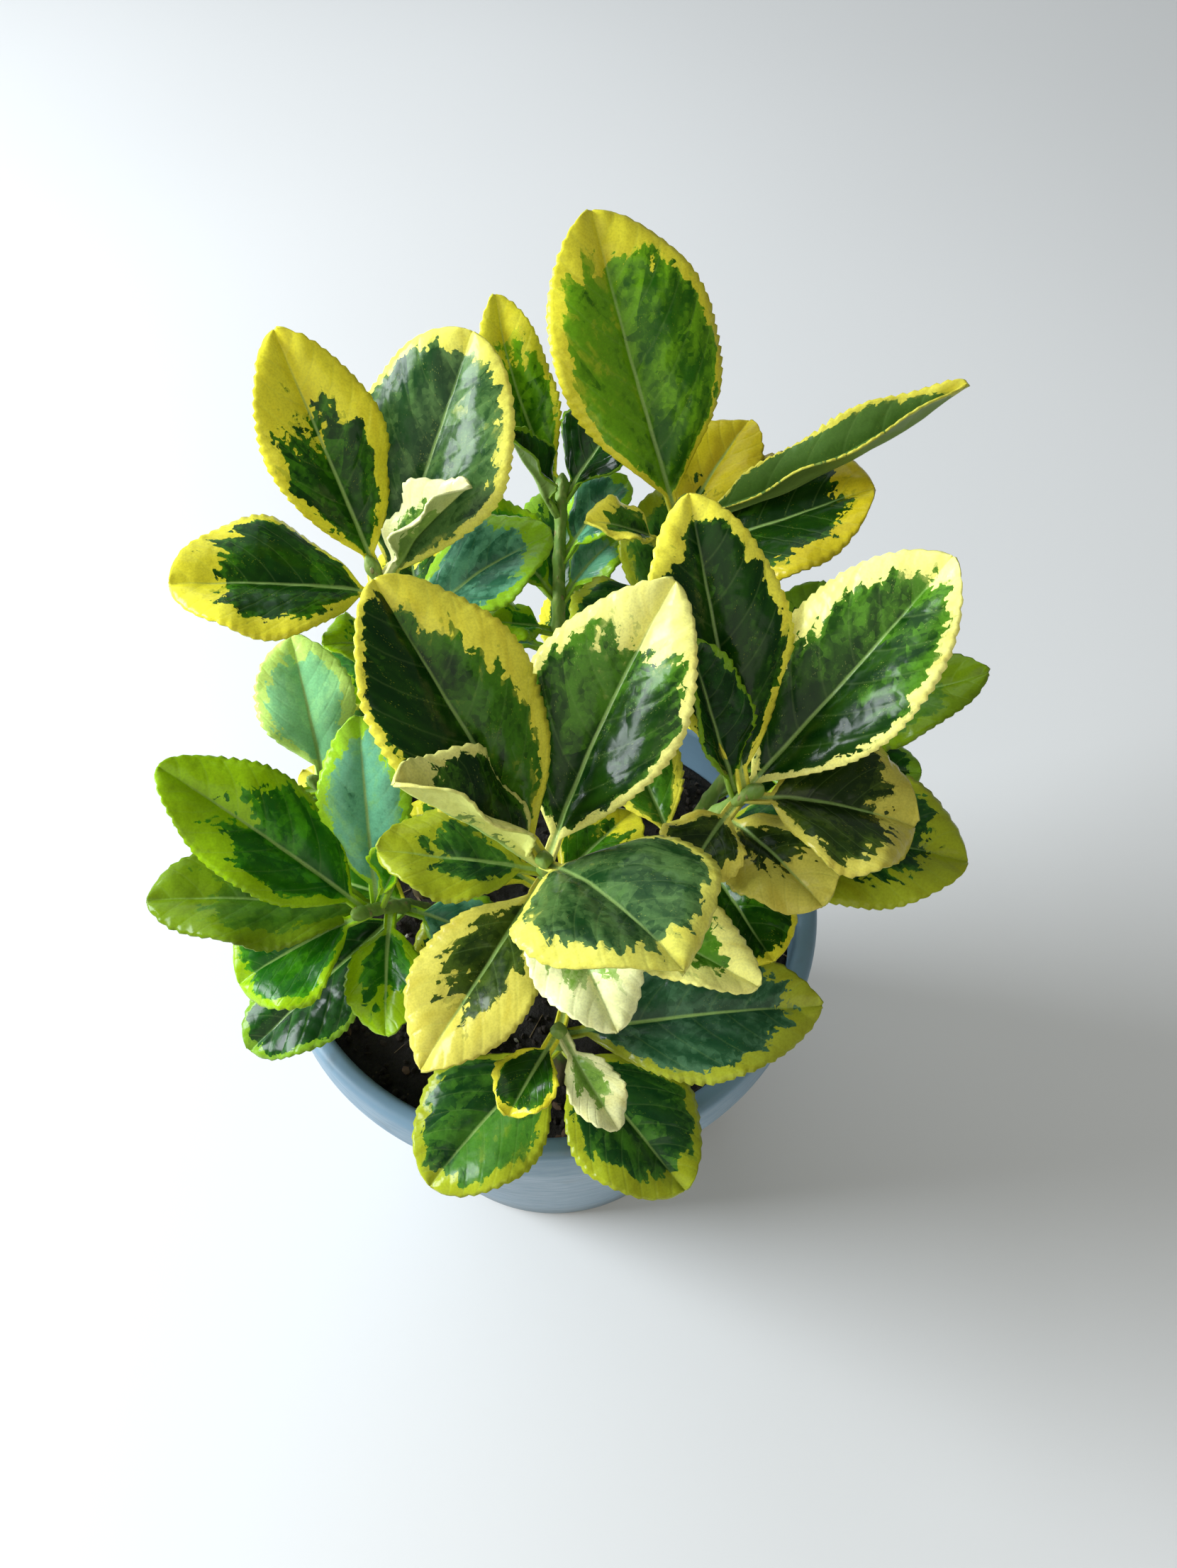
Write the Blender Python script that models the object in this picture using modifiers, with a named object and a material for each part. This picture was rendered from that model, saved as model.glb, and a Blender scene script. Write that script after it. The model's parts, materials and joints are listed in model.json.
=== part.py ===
"""Potted golden euonymus: a tapered plastic pot, its potting soil, and the leafy stems that stand in it.

Metres, +Z up. The origin is the centre of the pot's flat base, +X is the plant's right and -Y its front.
"""

import math
from collections import namedtuple

import bmesh
import bpy
from mathutils import Matrix, Vector, noise

MM = 0.001
WELD = 1e-6

# Pot, a turned shell with a deep collar and a rounded rim
POT_HEIGHT = 105 * MM
RIM_RADIUS = 61 * MM
COLLAR_HEIGHT = 13 * MM
COLLAR_STEP = 2.7 * MM
RIM_WIDTH = 4.6 * MM
RIM_ROUND = 1.9 * MM
EDGE_ROUND = 0.8 * MM
BASE_RADIUS = 43 * MM
POT_WALL = 2.0 * MM
POT_FLOOR = 2.5 * MM
DRAIN_RADIUS = 4.5 * MM
DRAIN_RING = 29 * MM
DRAIN_COUNT = 6
DRAIN_SIDES = 16
TURN_STEPS = 36

# Soil, a plug that fills the pot to below the rim
SOIL_TOP = 91 * MM
SOIL_MOUND = 3 * MM
SOIL_LUMP = 1.4 * MM
SOIL_LUMP_SIZE = 9 * MM
SOIL_RINGS = 5
GAP = 0.3 * MM
HOLE_DEPTH = 24 * MM
HOLE_SIDES = 10

# Stems
STEM_FOOT_RADIUS = 2.1 * MM
STEM_TIP_RADIUS = 1.1 * MM
STEM_POINTS = 9
STEM_SAMPLES = 20
STEM_KNEE = 0.55
BUD_LENGTH = 4.5 * MM
BUD_RADIUS = 1.7 * MM
BUD_TIP_RADIUS = 0.3 * MM
BUD_SWELL = 0.35

# Leaf blade, shared by every leaf
BLADE_THICKNESS = 0.8 * MM
PETIOLE_LENGTH = 4 * MM
PETIOLE_HALF = 1.0 * MM
BLADE_PEAK = 0.53
BASE_FULLNESS = 0.9
TIP_FULLNESS = 0.56
TEETH = 6
TOOTH_DEPTH = 0.045
TOOTH_LEAN = 0.35
FLAT = 0.01

# Colour and roughness of each material
POT_PAINT = (0.29, 0.46, 0.56), 0.4
SOIL_PAINT = (0.012, 0.011, 0.007), 0.95
LEAF_PAINT = (0.12, 0.22, 0.03), 0.35

# One leaf. down is its distance below the stem's tip in mm; azimuth (from +X towards +Y), rise above the
# horizontal, fold of each half about the midrib and droop of the midrib, below 0 where it curves up, are in
# degrees; length and width are in mm.
Leaf = namedtuple("Leaf", "down azimuth rise length width fold droop")

# One leafy stem: where it leaves the soil and where it ends, x and y from the pot's axis and the tip's height
# above the rim, in mm, and its leaves.
Shoot = namedtuple("Shoot", "foot tip leaves")

SHOOTS = {
    "stem_front_centre": Shoot(
        (1, -12),
        (2, -30, 62),
        [
            Leaf(1, 132, 43, 51, 31, 12, 12),
            Leaf(1, 308, 21, 35, 37, 4, 35),
            Leaf(4, 56, 42, 49, 30, 14, 8),
            Leaf(4, 194, 55, 35, 22, 42, 10),
            Leaf(14, 292, -2, 30, 20, 8, 20),
            Leaf(22, 238, -12, 38, 24, 8, 15),
            Leaf(17, 182, 16, 27, 20, 8, 15),
            Leaf(24, 326, 6, 42, 20, 20, 25),
            Leaf(36, 150, 5, 30, 22, 8, 15),
            Leaf(36, 48, -2, 22, 18, 8, 15),
            Leaf(54, 200, 0, 26, 20, 8, 15),
            Leaf(50, 336, 8, 26, 20, 8, 15),
        ],
    ),
    "stem_right": Shoot(
        (22, -4),
        (38, -15, 60),
        [
            Leaf(1, 107, 45, 50, 27, 10, 12),
            Leaf(1, 350, -6, 27, 33, 12, 30),
            Leaf(4, 35, 42, 52, 30, 14, 8),
            Leaf(4, 130, 62, 30, 15, 35, 10),
            Leaf(11, 306, 6, 24, 22, 8, 20),
            Leaf(20, 345, 8, 46, 34, 8, 15),
            Leaf(26, 298, -2, 27, 24, 8, 15),
            Leaf(34, 112, 12, 28, 18, 8, 15),
            Leaf(34, 350, -12, 26, 20, 8, 15),
            Leaf(50, 350, 8, 28, 20, 8, 15),
            Leaf(4, 238, -4, 17, 16, 12, 20),
        ],
    ),
    "stem_back_right": Shoot(
        (14, 18),
        (27, 40, 75),
        [
            Leaf(1, 115, 47, 54, 34, 8, 8),
            Leaf(9, 1, 25, 38, 35, 6, 6),
            Leaf(1, 5, 31, 54, 16, 56, -24),
            Leaf(6, 194, 30, 16, 12, 24, 20),
            Leaf(6, 54, 24, 26, 18, 8, 20),
            Leaf(14, 225, 10, 20, 14, 8, 20),
            Leaf(26, 74, 24, 30, 20, 8, 20),
            Leaf(36, 60, 6, 32, 22, 8, 20),
            Leaf(36, 330, 6, 26, 18, 8, 20),
            Leaf(54, 84, 8, 30, 22, 8, 20),
            Leaf(54, 236, 12, 24, 18, 8, 20),
        ],
    ),
    "stem_back_left": Shoot(
        (-16, 16),
        (-31, 29, 70),
        [
            Leaf(1, 124, 54, 44, 24, 14, 8),
            Leaf(1, 8, 48, 25, 14, 50, 20),
            Leaf(4, 57, 49, 47, 34, 4, 8),
            Leaf(4, 193, 16, 36, 32, 8, 10),
            Leaf(13, 22, 24, 31, 24, 10, 20),
            Leaf(18, 206, 28, 16, 14, 8, 20),
            Leaf(26, 100, 15, 30, 20, 8, 20),
            Leaf(38, 140, 5, 30, 22, 8, 20),
            Leaf(54, 100, 8, 28, 22, 8, 20),
            Leaf(54, 268, 12, 24, 18, 8, 20),
        ],
    ),
    "stem_back_centre": Shoot(
        (2, 30),
        (4, 57, 65),
        [
            Leaf(1, 119, 51, 38, 16, 20, 0),
            Leaf(1, 38, 40, 20, 20, 20, 10),
            Leaf(4, 180, 64, 20, 12, 45, 10),
            Leaf(13, 35, 35, 18, 16, 10, 20),
            Leaf(22, 34, 32, 16, 14, 10, 20),
            Leaf(22, 150, 35, 24, 18, 20, 20),
            Leaf(34, 170, 10, 28, 18, 10, 20),
            Leaf(28, 88, 20, 30, 22, 10, 20),
            Leaf(46, 70, 4, 32, 24, 10, 20),
            Leaf(29, 196, 24, 13, 12, 10, 20),
        ],
    ),
    "stem_left": Shoot(
        (-22, -8),
        (-33, -25, 35),
        [
            Leaf(1, 157, 34, 43, 24, 10, 10),
            Leaf(1, 207, -14, 24, 26, 8, 15),
            Leaf(4, 94, 48, 34, 18, 10, 10),
            Leaf(4, 40, 55, 18, 12, 50, 10),
            Leaf(9, 189, 18, 42, 24, 8, 25),
            Leaf(9, 272, -10, 22, 16, 8, 20),
            Leaf(16, 221, -17, 38, 24, 8, 20),
            Leaf(14, 340, -10, 18, 16, 8, 20),
            Leaf(26, 160, 0, 28, 20, 8, 20),
        ],
    ),
    "stem_front_low": Shoot(
        (4, -39),
        (4, -47, 30),
        [
            Leaf(20, 228, -7, 33, 27, 8, 15),
            Leaf(20, 310, -7, 33, 27, 8, 15),
            Leaf(1, 240, -8, 14, 13, 20, 20),
            Leaf(1, 302, -12, 17, 11, 20, 20),
            Leaf(10, 2, 10, 46, 28, 8, 15),
            Leaf(8, 78, 10, 18, 14, 8, 15),
        ],
    ),
    "stem_right_back": Shoot(
        (30, 10),
        (46, 12, 42),
        [
            Leaf(1, 0, 26, 41, 24, 8, 15),
            Leaf(1, 66, 40, 29, 18, 10, 15),
            Leaf(12, 350, 10, 34, 22, 8, 15),
            Leaf(12, 90, 12, 30, 22, 8, 15),
            Leaf(24, 30, 0, 32, 24, 8, 15),
        ],
    ),
    "stem_left_back": Shoot(
        (-30, 6),
        (-44, 2, 38),
        [
            Leaf(1, 105, 42, 27, 20, 8, 15),
            Leaf(1, 200, 4, 26, 16, 10, 15),
            Leaf(12, 34, 24, 18, 16, 8, 15),
            Leaf(22, 100, 5, 30, 22, 8, 15),
            Leaf(32, 140, 6, 26, 20, 8, 15),
        ],
    ),
}


def blade_half_width(leaf, along):
    """Half the blade's width at a share of its length, in mm: a wedge at the base, a blunt tip."""
    along = min(1.0, max(0.0, along))
    exponent = math.log(0.5) / math.log(BLADE_PEAK)
    fullness = BASE_FULLNESS + (TIP_FULLNESS - BASE_FULLNESS) * along
    return leaf.width / 2 * math.sin(math.pi * along ** exponent) ** fullness


def blade_point(leaf, along, across):
    """A blade point in the leaf's own frame, in mm. along runs from 0 at the base to 1 at the tip and is below 0
    on the petiole; across runs from -1 to 1. x is along the leaf, y to its left, z out of its upper face."""
    bend = math.radians(leaf.droop or FLAT)
    radius = leaf.length / bend
    if along < 0:
        slope = bend / 2
        x, z = along * leaf.length * math.cos(slope), along * leaf.length * math.sin(slope)
        half = PETIOLE_HALF / MM
    else:
        slope = bend * (0.5 - along)
        x = radius * (math.sin(bend / 2) - math.sin(slope))
        z = radius * (math.cos(slope) - math.cos(bend / 2))
        half = max(blade_half_width(leaf, along), PETIOLE_HALF / MM * (1 - along))
    fold = math.radians(leaf.fold)
    lift = abs(across) * half * math.sin(fold)
    return Vector((x - lift * math.sin(slope), across * half * math.cos(fold), z + lift * math.cos(slope)))


def stem_point(shoot, share):
    """A point of the stem's centreline: upright at the foot, then leaning to the tip."""
    foot = Vector((shoot.foot[0], shoot.foot[1], SOIL_TOP / MM)) * MM
    tip = Vector((shoot.tip[0], shoot.tip[1], POT_HEIGHT / MM + shoot.tip[2])) * MM
    knee = Vector((foot.x, foot.y, foot.z + STEM_KNEE * (tip.z - foot.z)))
    rest = 1 - share
    return foot * rest * rest + knee * 2 * share * rest + tip * share * share


def stem_length(shoot):
    """The length of the stem above the soil."""
    points = [stem_point(shoot, i / STEM_SAMPLES) for i in range(STEM_SAMPLES + 1)]
    return sum((b - a).length for a, b in zip(points, points[1:]))


def leaf_matrix(shoot, leaf):
    """Places the leaf's own frame, whose origin is the blade's base, on the stem."""
    turn = Matrix.Rotation(math.radians(leaf.azimuth), 4, "Z")
    turn = turn @ Matrix.Rotation(-math.radians(leaf.rise), 4, "Y")
    node = stem_point(shoot, 1 - leaf.down * MM / stem_length(shoot))
    bend = math.radians(leaf.droop)
    reach = Vector((math.cos(bend / 2), 0, math.sin(bend / 2))) * PETIOLE_LENGTH
    return Matrix.Translation(node + turn.to_3x3() @ reach) @ turn


def new_object(name, mesh, collection):
    thing = bpy.data.objects.new(name, mesh)
    collection.objects.link(thing)
    return thing


def leaf_object(name, shoot, leaf, collection):
    """A closed toothed blade: a strip of two columns, bent, folded and thickened."""
    rows = 2 * TEETH + 1
    bm = bmesh.new()
    bmesh.ops.create_grid(bm, x_segments=2, y_segments=rows, size=1)
    grid = {}
    for vertex in bm.verts:
        grid[round((vertex.co.y + 1) / 2 * rows), round(vertex.co.x)] = vertex
    matrix = leaf_matrix(shoot, leaf)
    step = 1 / (rows - 1)
    for (row, side), vertex in grid.items():
        along = (row - 1) * step
        edge = side
        if row == 0:
            along = -(PETIOLE_LENGTH / MM) / leaf.length
        elif side and 1 < row < rows:
            tooth = row % 2 == 0
            along += TOOTH_LEAN * step if tooth else 0
            edge = side * (1 if tooth else 1 - TOOTH_DEPTH * 2)
        vertex.co = matrix @ (blade_point(leaf, along, edge) * MM)
    tip = [grid[rows, side] for side in (-1, 0, 1)]
    bmesh.ops.pointmerge(bm, verts=tip, merge_co=tip[1].co)
    for row in range(3, rows - 1, 2):
        pair = [grid[row, 0], grid[row + 1, 0]]
        bmesh.ops.pointmerge(bm, verts=pair, merge_co=(pair[0].co + pair[1].co) / 2)
    bmesh.ops.triangulate(bm, faces=bm.faces[:])
    mesh = bpy.data.meshes.new(name)
    bm.to_mesh(mesh)
    bm.free()
    blade = new_object(name, mesh, collection)
    thicken = blade.modifiers.new("thickness", "SOLIDIFY")
    thicken.thickness = BLADE_THICKNESS
    thicken.offset = -1
    thicken.use_even_offset = True
    return blade


def applied(thing):
    """Swaps the object's mesh for its evaluated one, with its modifiers taken in."""
    graph = bpy.context.evaluated_depsgraph_get()
    mesh = bpy.data.meshes.new_from_object(thing.evaluated_get(graph))
    thing.modifiers.clear()
    old = thing.data
    thing.data = mesh
    bpy.data.meshes.remove(old)


def stem_object(name, shoot, collection):
    """A tapering round stem from inside the soil to its bud, as a mesh."""
    foot = stem_point(shoot, 0)
    tip = stem_point(shoot, 1)
    ahead = (tip - stem_point(shoot, 1 - 1 / STEM_SAMPLES)).normalized()
    points = [(foot - Vector((0, 0, HOLE_DEPTH - GAP)), STEM_FOOT_RADIUS)]
    for i in range(STEM_POINTS):
        share = i / (STEM_POINTS - 1)
        radius = STEM_FOOT_RADIUS + (STEM_TIP_RADIUS - STEM_FOOT_RADIUS) * share
        points.append((stem_point(shoot, share), radius))
    points.append((tip + ahead * BUD_LENGTH * BUD_SWELL, BUD_RADIUS))
    points.append((tip + ahead * BUD_LENGTH, BUD_TIP_RADIUS))
    curve = bpy.data.curves.new(name + "_curve", "CURVE")
    curve.dimensions = "3D"
    curve.bevel_depth = 1
    curve.bevel_resolution = 1
    curve.use_fill_caps = True
    spline = curve.splines.new("POLY")
    spline.points.add(len(points) - 1)
    for point, (place, radius) in zip(spline.points, points):
        point.co = (*place, 1)
        point.radius = radius
    guide = new_object(name + "_curve", curve, collection)
    graph = bpy.context.evaluated_depsgraph_get()
    mesh = bpy.data.meshes.new_from_object(guide.evaluated_get(graph))
    mesh.name = name
    bm = bmesh.new()
    bm.from_mesh(mesh)
    bmesh.ops.remove_doubles(bm, verts=bm.verts, dist=WELD)
    bm.to_mesh(mesh)
    bm.free()
    stem = new_object(name, mesh, collection)
    stem.matrix_world = guide.matrix_world
    bpy.data.objects.remove(guide)
    bpy.data.curves.remove(curve)
    return stem


def leafy_stem(name, shoot, collection):
    """The stem with all its leaves grown on, as one body."""
    stem = stem_object(name, shoot, collection)
    foliage = bpy.data.collections.new(name + "_leaves")
    bpy.context.scene.collection.children.link(foliage)
    for i, leaf in enumerate(shoot.leaves):
        leaf_object(f"{name}_leaf_{i}", shoot, leaf, foliage)
    grow = stem.modifiers.new("leaves", "BOOLEAN")
    grow.operation = "UNION"
    grow.operand_type = "COLLECTION"
    grow.collection = foliage
    grow.solver = "MANIFOLD"
    applied(stem)
    for blade in list(foliage.objects):
        bpy.data.meshes.remove(blade.data)
    bpy.data.collections.remove(foliage)
    return stem


def rounded_corner(centre, radius, start, end, segments=3):
    """Profile points round a corner, by angles in degrees from +X towards +Z."""
    angles = [math.radians(start + (end - start) * i / segments) for i in range(segments + 1)]
    return [(centre[0] + radius * math.cos(a), centre[1] + radius * math.sin(a)) for a in angles]


def turned(name, profile, collection):
    """A profile of (radius, height) points turned about Z, both its ends on the axis."""
    bm = bmesh.new()
    corners = [bm.verts.new((radius, 0, height)) for radius, height in profile]
    for a, b in zip(corners, corners[1:]):
        bm.edges.new((a, b))
    mesh = bpy.data.meshes.new(name)
    bm.to_mesh(mesh)
    bm.free()
    thing = new_object(name, mesh, collection)
    turn = thing.modifiers.new("turn", "SCREW")
    turn.steps = turn.render_steps = TURN_STEPS
    turn.use_merge_vertices = True
    turn.merge_threshold = WELD
    turn.use_smooth_shade = True
    return thing


def wall_radius(height):
    """The outer radius of the pot's tapered wall at a height."""
    top = POT_HEIGHT - COLLAR_HEIGHT
    return BASE_RADIUS + (RIM_RADIUS - COLLAR_STEP - BASE_RADIUS) * height / top


def cutter_cylinder(name, radius, depth, sides, place, collection):
    bm = bmesh.new()
    bmesh.ops.create_cone(bm, cap_ends=True, segments=sides, radius1=radius, radius2=radius, depth=depth)
    mesh = bpy.data.meshes.new(name)
    bm.to_mesh(mesh)
    bm.free()
    cutter = new_object(name, mesh, collection)
    cutter.location = place
    cutter.hide_render = True
    cutter.display_type = "WIRE"
    return cutter


def cut_by(thing, cutters):
    cut = thing.modifiers.new("holes", "BOOLEAN")
    cut.operation = "DIFFERENCE"
    cut.operand_type = "COLLECTION"
    cut.collection = cutters
    cut.solver = "EXACT"


def pot_object(collection, cutters):
    """The pot, with its collar and its drain holes."""
    collar_foot = POT_HEIGHT - COLLAR_HEIGHT
    inner_rim = RIM_RADIUS - RIM_WIDTH
    rim_centre = POT_HEIGHT - RIM_ROUND
    profile = [
        (0, POT_FLOOR),
        (wall_radius(POT_FLOOR) - POT_WALL, POT_FLOOR),
        (wall_radius(collar_foot) - POT_WALL, collar_foot),
        *rounded_corner((inner_rim + RIM_ROUND, rim_centre), RIM_ROUND, 180, 90),
        *rounded_corner((RIM_RADIUS - RIM_ROUND, rim_centre), RIM_ROUND, 90, 0),
        *rounded_corner((RIM_RADIUS - EDGE_ROUND, collar_foot + EDGE_ROUND), EDGE_ROUND, 0, -90, 2),
        (wall_radius(collar_foot), collar_foot),
        (wall_radius(EDGE_ROUND), EDGE_ROUND),
        (BASE_RADIUS - EDGE_ROUND, 0),
        (0, 0),
    ]
    pot = turned("pot", profile, collection)
    for i in range(DRAIN_COUNT):
        angle = 2 * math.pi * i / DRAIN_COUNT
        place = (DRAIN_RING * math.cos(angle), DRAIN_RING * math.sin(angle), POT_FLOOR / 2)
        cutter_cylinder(f"drain_cutter_{i}", DRAIN_RADIUS, POT_FLOOR * 3, DRAIN_SIDES, place, cutters)
    cut_by(pot, cutters)
    return pot


def soil_object(collection, cutters):
    """The soil, a mounded lumpy plug with a plain hole for each stem."""
    foot = POT_FLOOR + GAP
    edge = wall_radius(SOIL_TOP) - POT_WALL - GAP
    profile = []
    for i in range(SOIL_RINGS + 1):
        share = i / SOIL_RINGS
        profile.append((edge * share, SOIL_TOP + SOIL_MOUND * (1 - share * share)))
    profile.append((wall_radius(foot) - POT_WALL - GAP, foot))
    profile.append((0, foot))
    soil = turned("soil", profile, collection)
    applied(soil)
    for vertex in soil.data.vertices:
        reach = math.hypot(vertex.co.x, vertex.co.y)
        if vertex.co.z > SOIL_TOP - MM and reach < edge - MM:
            vertex.co.z += SOIL_LUMP * noise.noise(vertex.co / SOIL_LUMP_SIZE)
    radius = (STEM_FOOT_RADIUS + GAP) / math.cos(math.pi / HOLE_SIDES)
    for name, shoot in SHOOTS.items():
        place = (shoot.foot[0] * MM, shoot.foot[1] * MM, SOIL_TOP)
        cutter_cylinder(name + "_hole", radius, 2 * HOLE_DEPTH, HOLE_SIDES, place, cutters)
    cut_by(soil, cutters)
    return soil


def paint(thing, colour, roughness):
    """Gives the object a material of its own."""
    material = bpy.data.materials.new(thing.name)
    material.use_nodes = True
    shader = material.node_tree.nodes["Principled BSDF"]
    shader.inputs["Base Color"].default_value = (*colour, 1)
    shader.inputs["Roughness"].default_value = roughness
    shader.inputs["Metallic"].default_value = 0
    material.diffuse_color = (*colour, 1)
    thing.data.materials.clear()
    thing.data.materials.append(material)


def new_collection(name):
    collection = bpy.data.collections.new(name)
    bpy.context.scene.collection.children.link(collection)
    return collection


def main():
    for thing in list(bpy.data.objects):
        bpy.data.objects.remove(thing)
    plant = new_collection("potted_euonymus")
    drains = new_collection("drain_cutters")
    holes = new_collection("hole_cutters")
    pot = pot_object(plant, drains)
    paint(pot, *POT_PAINT)
    soil = soil_object(plant, holes)
    paint(soil, *SOIL_PAINT)
    for name, shoot in SHOOTS.items():
        stem = leafy_stem(name, shoot, plant)
        paint(stem, *LEAF_PAINT)


if __name__ == "__main__":
    main()
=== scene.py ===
import json
import math
import random

import bmesh
import bpy
from mathutils import Matrix, Vector, noise

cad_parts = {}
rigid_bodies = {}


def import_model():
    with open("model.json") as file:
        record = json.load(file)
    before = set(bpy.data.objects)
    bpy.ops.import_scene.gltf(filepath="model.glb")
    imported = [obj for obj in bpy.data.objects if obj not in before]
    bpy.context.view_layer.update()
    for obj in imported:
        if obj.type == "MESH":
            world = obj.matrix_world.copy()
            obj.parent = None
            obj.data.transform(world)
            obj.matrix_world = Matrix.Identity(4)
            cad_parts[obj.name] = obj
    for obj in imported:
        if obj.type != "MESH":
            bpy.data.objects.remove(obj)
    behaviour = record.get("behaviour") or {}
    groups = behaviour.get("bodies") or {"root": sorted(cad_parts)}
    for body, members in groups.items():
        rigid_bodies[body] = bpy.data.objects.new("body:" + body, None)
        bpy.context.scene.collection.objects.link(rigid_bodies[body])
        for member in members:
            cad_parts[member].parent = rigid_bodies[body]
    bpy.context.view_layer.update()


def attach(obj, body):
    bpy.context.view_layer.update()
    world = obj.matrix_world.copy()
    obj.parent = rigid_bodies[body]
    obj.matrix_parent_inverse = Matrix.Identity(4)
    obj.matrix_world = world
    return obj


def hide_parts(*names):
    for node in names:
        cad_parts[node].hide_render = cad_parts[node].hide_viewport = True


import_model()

mm = 0.001
dice = random.Random(11)


def paint(red, green, blue):
    # colour picker numbers, 0 to 255, into the linear colour that shaders want
    linear = [((part / 255 + 0.055) / 1.055) ** 2.4 for part in (red, green, blue)]
    return (*linear, 1.0)


def wire(tree, socket, value):
    if isinstance(value, bpy.types.NodeSocket):
        tree.links.new(value, socket)
    else:
        socket.default_value = value


def newMaterial(name, roughness, colour):
    material = bpy.data.materials.new(name)
    material.use_nodes = True
    material.diffuse_color = colour
    shader = material.node_tree.nodes["Principled BSDF"]
    shader.inputs["Roughness"].default_value = roughness
    return material, material.node_tree, shader


def sums(tree, operation, first, second=0.0):
    made = tree.nodes.new("ShaderNodeMath")
    made.operation = operation
    wire(tree, made.inputs[0], first)
    wire(tree, made.inputs[1], second)
    return made.outputs[0]


def swing(tree, value, reach):
    # a 0 to 1 pattern into one that swings both ways about nought
    return sums(tree, "MULTIPLY", sums(tree, "SUBTRACT", value, 0.5), reach)


def step(tree, value, low, high, toLow=0.0, toHigh=1.0):
    made = tree.nodes.new("ShaderNodeMapRange")
    made.interpolation_type = "SMOOTHSTEP"
    wire(tree, made.inputs["Value"], value)
    wire(tree, made.inputs["From Min"], low)
    wire(tree, made.inputs["From Max"], high)
    wire(tree, made.inputs["To Min"], toLow)
    wire(tree, made.inputs["To Max"], toHigh)
    return made.outputs[0]


def blendColour(tree, share, first, second, way="MIX"):
    made = tree.nodes.new("ShaderNodeMix")
    made.data_type = "RGBA"
    made.blend_type = way
    wire(tree, made.inputs[0], share)
    wire(tree, made.inputs[6], first)
    wire(tree, made.inputs[7], second)
    return made.outputs[2]


def blendNumber(tree, share, first, second):
    made = tree.nodes.new("ShaderNodeMix")
    wire(tree, made.inputs[0], share)
    wire(tree, made.inputs[2], first)
    wire(tree, made.inputs[3], second)
    return made.outputs[0]


def stretch(tree, vector, scale):
    made = tree.nodes.new("ShaderNodeMapping")
    wire(tree, made.inputs["Vector"], vector)
    made.inputs["Scale"].default_value = scale
    return made.outputs[0]


def mottle(tree, vector, scale, detail=2.0, roughness=0.5, output="Fac"):
    made = tree.nodes.new("ShaderNodeTexNoise")
    wire(tree, made.inputs["Vector"], vector)
    made.inputs["Scale"].default_value = scale
    made.inputs["Detail"].default_value = detail
    made.inputs["Roughness"].default_value = roughness
    return made.outputs[output]


def cells(tree, vector, scale, output="Distance"):
    # Distance gives dots or a net, Color a tone of its own for each cell
    made = tree.nodes.new("ShaderNodeTexVoronoi")
    wire(tree, made.inputs["Vector"], vector)
    made.inputs["Scale"].default_value = scale
    return made.outputs[output]


def wobble(tree, vector, scale, reach):
    # shifts a pattern's place a little, so that its cells have uneven sides
    shift = tree.nodes.new("ShaderNodeVectorMath")
    shift.operation = "MULTIPLY_ADD"
    wire(tree, shift.inputs[0], mottle(tree, vector, scale, 2, 0.5, "Color"))
    shift.inputs[1].default_value = (reach, reach, 0)
    wire(tree, shift.inputs[2], vector)
    return shift.outputs[0]


def reading(tree, name, socket="Fac"):
    made = tree.nodes.new("ShaderNodeAttribute")
    made.attribute_name = name
    return made.outputs[socket]


def placeOn(tree, name=""):
    # the piece's own UV map when named, else its own metres
    if name:
        made = tree.nodes.new("ShaderNodeUVMap")
        made.uv_map = name
        return made.outputs[0]
    return tree.nodes.new("ShaderNodeTexCoord").outputs["Object"]


def heightOf(tree, place):
    made = tree.nodes.new("ShaderNodeSeparateXYZ")
    wire(tree, made.inputs[0], place)
    return made.outputs[2]


def relief(tree, shader, height, depth, strength=1.0):
    made = tree.nodes.new("ShaderNodeBump")
    made.inputs["Distance"].default_value = depth
    made.inputs["Strength"].default_value = strength
    wire(tree, made.inputs["Height"], height)
    tree.links.new(made.outputs[0], shader.inputs["Normal"])


def joinInto(piece, bm):
    # by way of a spare mesh, so that layers and materials come along
    spare = bpy.data.meshes.new("spare")
    bm.to_mesh(spare)
    bm.free()
    piece.from_mesh(spare)
    bpy.data.meshes.remove(spare)


def finishedPiece(name, mesh, replaced=""):
    piece = bpy.data.objects.new(name, mesh)
    bpy.context.scene.collection.objects.link(piece)
    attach(piece, "root")
    if replaced:
        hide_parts(replaced)
    return piece


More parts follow.
